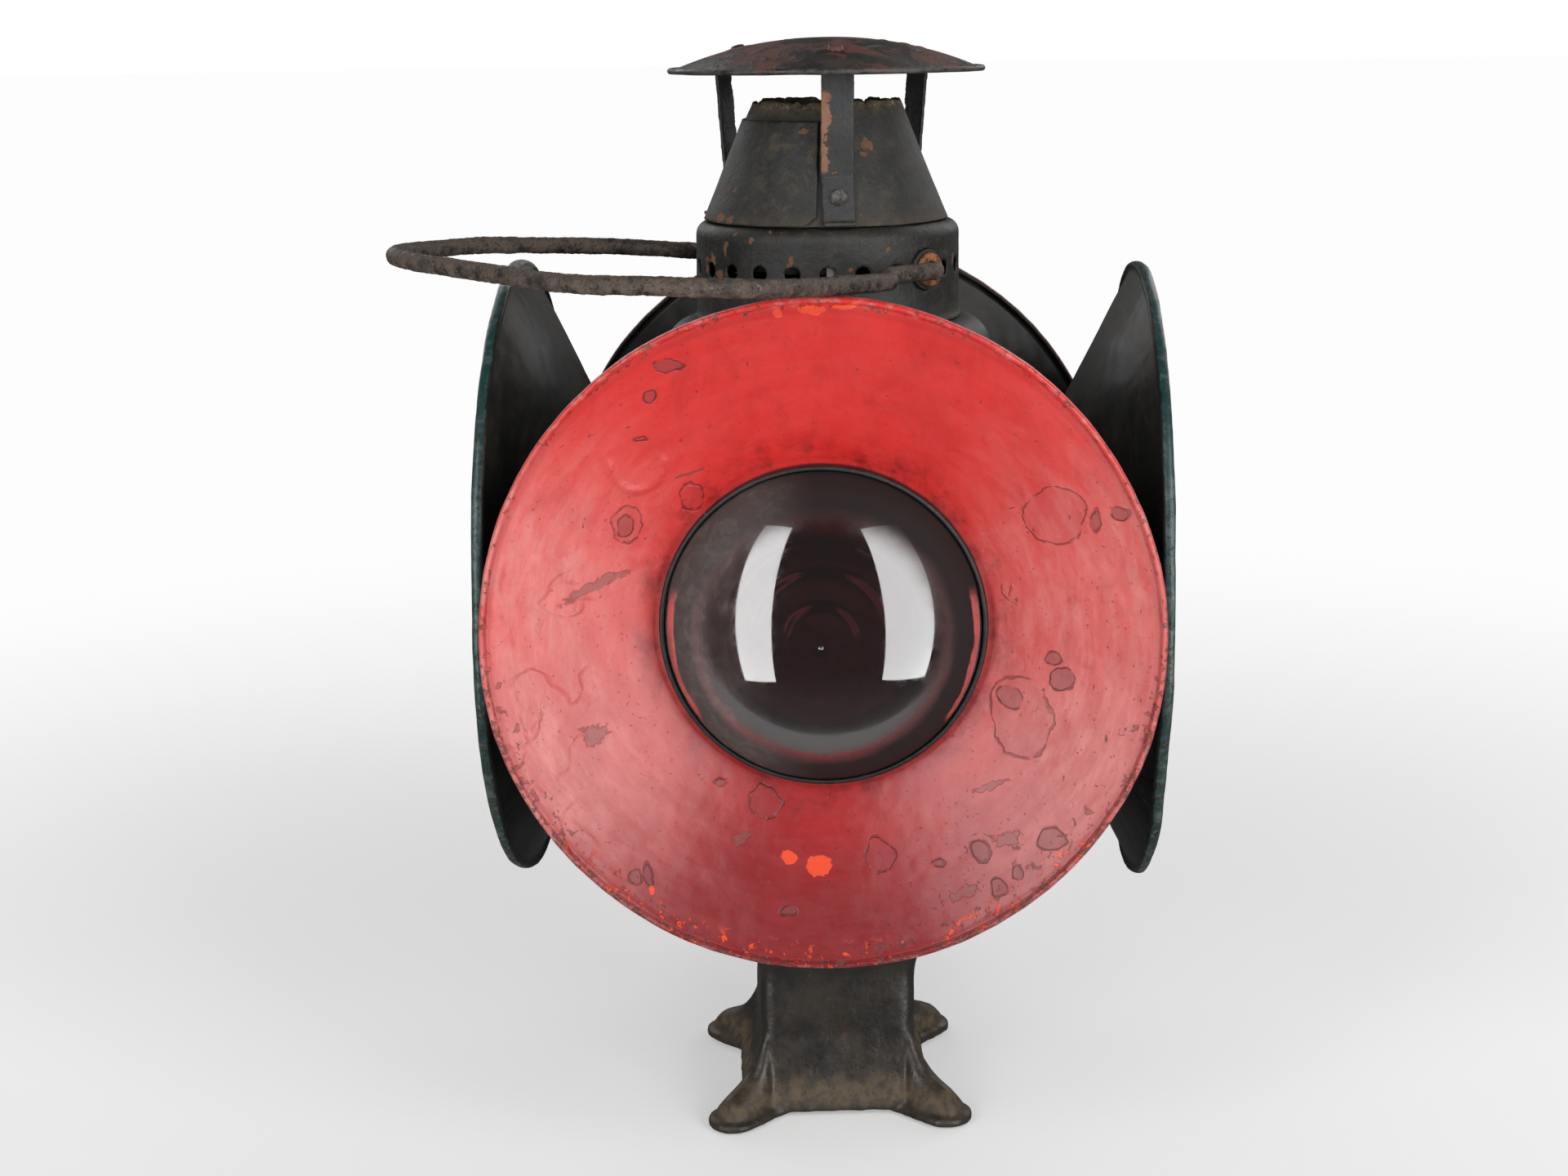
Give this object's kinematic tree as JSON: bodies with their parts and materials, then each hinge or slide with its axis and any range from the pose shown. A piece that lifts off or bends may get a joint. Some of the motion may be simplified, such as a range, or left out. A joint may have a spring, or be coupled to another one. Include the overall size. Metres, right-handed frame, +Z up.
{
  "type": "railway switch lamp",
  "caption": "Round-bodied kerosene signal lamp with coloured lenses, cone targets, vented neck, hinged chimney lid, wire bail and square base socket.",
  "frame": {"origin": "on the lamp axis, in the plane of the toes at the mouth of the spindle socket", "axes": "+Z up along the lamp axis, -Y out of the front red lens, +X out of the right-hand green lens"},
  "size_m": [0.2789, 0.2848, 0.425],
  "materials": {
    "black_paint": "satin black paint, chipped and rust-flecked",
    "chimney_paint": "dusty satin black paint with rust spots and bare primer chips",
    "cap_paint": "black over red oxide, worn through",
    "red_paint": "weathered gloss red enamel, blistered, black back",
    "green_paint": "weathered green enamel, black back",
    "cast_iron": "cast iron under thin black paint and rust dust",
    "bail_steel": "pitted rust-brown steel wire",
    "rusty_eyelet": "orange rusted eyelet",
    "bare_steel": "dull steel",
    "ruby_glass": "deep ruby pressed glass",
    "green_glass": "deep green pressed glass",
    "gasket": "aged gasket",
    "tinned_steel": "dull tinned steel",
    "brass": "tarnished brass",
    "wick_cotton": "woven cotton"
  },
  "bodies": {
    "lamp_body": {"bail_eyelets": "rusty_eyelet", "bail_washers": "black_paint", "base_bolts": "bare_steel", "base_nuts": "bare_steel", "base_socket": "cast_iron", "body_bottom": "black_paint", "body_drum": "black_paint", "burner_collar": "brass", "burner_deflector": "brass", "burner_gallery": "brass", "font_cup": "tinned_steel", "font_springs": "bare_steel", "font_top": "tinned_steel", "hinge_leaf_fixed": "black_paint", "hinge_pin": "bare_steel", "hinge_rivets_fixed": "black_paint", "lens_front": "ruby_glass", "lens_gasket_front": "gasket", "lens_gasket_left": "gasket", "lens_gasket_rear": "gasket", "lens_gasket_right": "gasket", "lens_hood_front": "black_paint", "lens_hood_left": "black_paint", "lens_hood_rear": "black_paint", "lens_hood_right": "black_paint", "lens_left": "green_glass", "lens_rear": "ruby_glass", "lens_right": "green_glass", "lens_ring_front": "black_paint", "lens_ring_left": "black_paint", "lens_ring_rear": "black_paint", "lens_ring_right": "black_paint", "lid_catch": "bare_steel", "neck_band": "black_paint", "target_front": "red_paint", "target_left": "green_paint", "target_rear": "red_paint", "target_right": "green_paint", "target_screws": "bare_steel", "wick_tube": "brass"},
    "chimney_lid": {"cap_rivets": "cap_paint", "chimney_cone": "chimney_paint", "cone_wrap": "chimney_paint", "flue_brackets": "black_paint", "hinge_leaf_moving": "black_paint", "hinge_rivet_moving": "black_paint", "inner_flue": "black_paint", "rain_cap": "cap_paint", "strap_front": "chimney_paint", "strap_left": "chimney_paint", "strap_right": "chimney_paint", "strap_rivets": "chimney_paint"},
    "bail": {"bail_handle": "bail_steel"},
    "filler_cap": {"filler_cap": "brass", "filler_gasket": "gasket"},
    "wick_raiser": {"wick_shaft": "brass", "wick_knob": "brass"},
    "wick": {"wick": "wick_cotton"}
  },
  "joints": [
    {"name": "lid_open", "type": "hinge", "parent": "lamp_body", "child": "chimney_lid", "pos_m": [-0.00658, 0.05279, 0.3586], "axis": [0.9923, 0.1236, 0], "range_deg": [-85, 0]},
    {"name": "bail_swing", "type": "hinge", "parent": "lamp_body", "child": "bail", "pos_m": [0, 0, 0.3408], "axis": [-0.742, 0.6704, 0], "range_deg": [0, 172.4]},
    {"name": "filler_turn", "type": "hinge", "parent": "lamp_body", "child": "filler_cap", "pos_m": [-0.027, 0, 0.154], "axis": [0, 0, 1], "range_deg": [0, 90]},
    {"name": "wick_knob_turn", "type": "hinge", "parent": "lamp_body", "child": "wick_raiser", "pos_m": [0, -0.0048, 0.165], "axis": [1, 0, 0], "range_deg": [-60, 60]},
    {"name": "wick_raise", "type": "slide", "parent": "lamp_body", "child": "wick", "axis": [0, 0, 1], "range_m": [-0.0033, 0.0033]}
  ],
  "couplings": [
    {"joint": "wick_raise", "follows": "wick_knob_turn", "m_per_rad": 0.003}
  ]
}
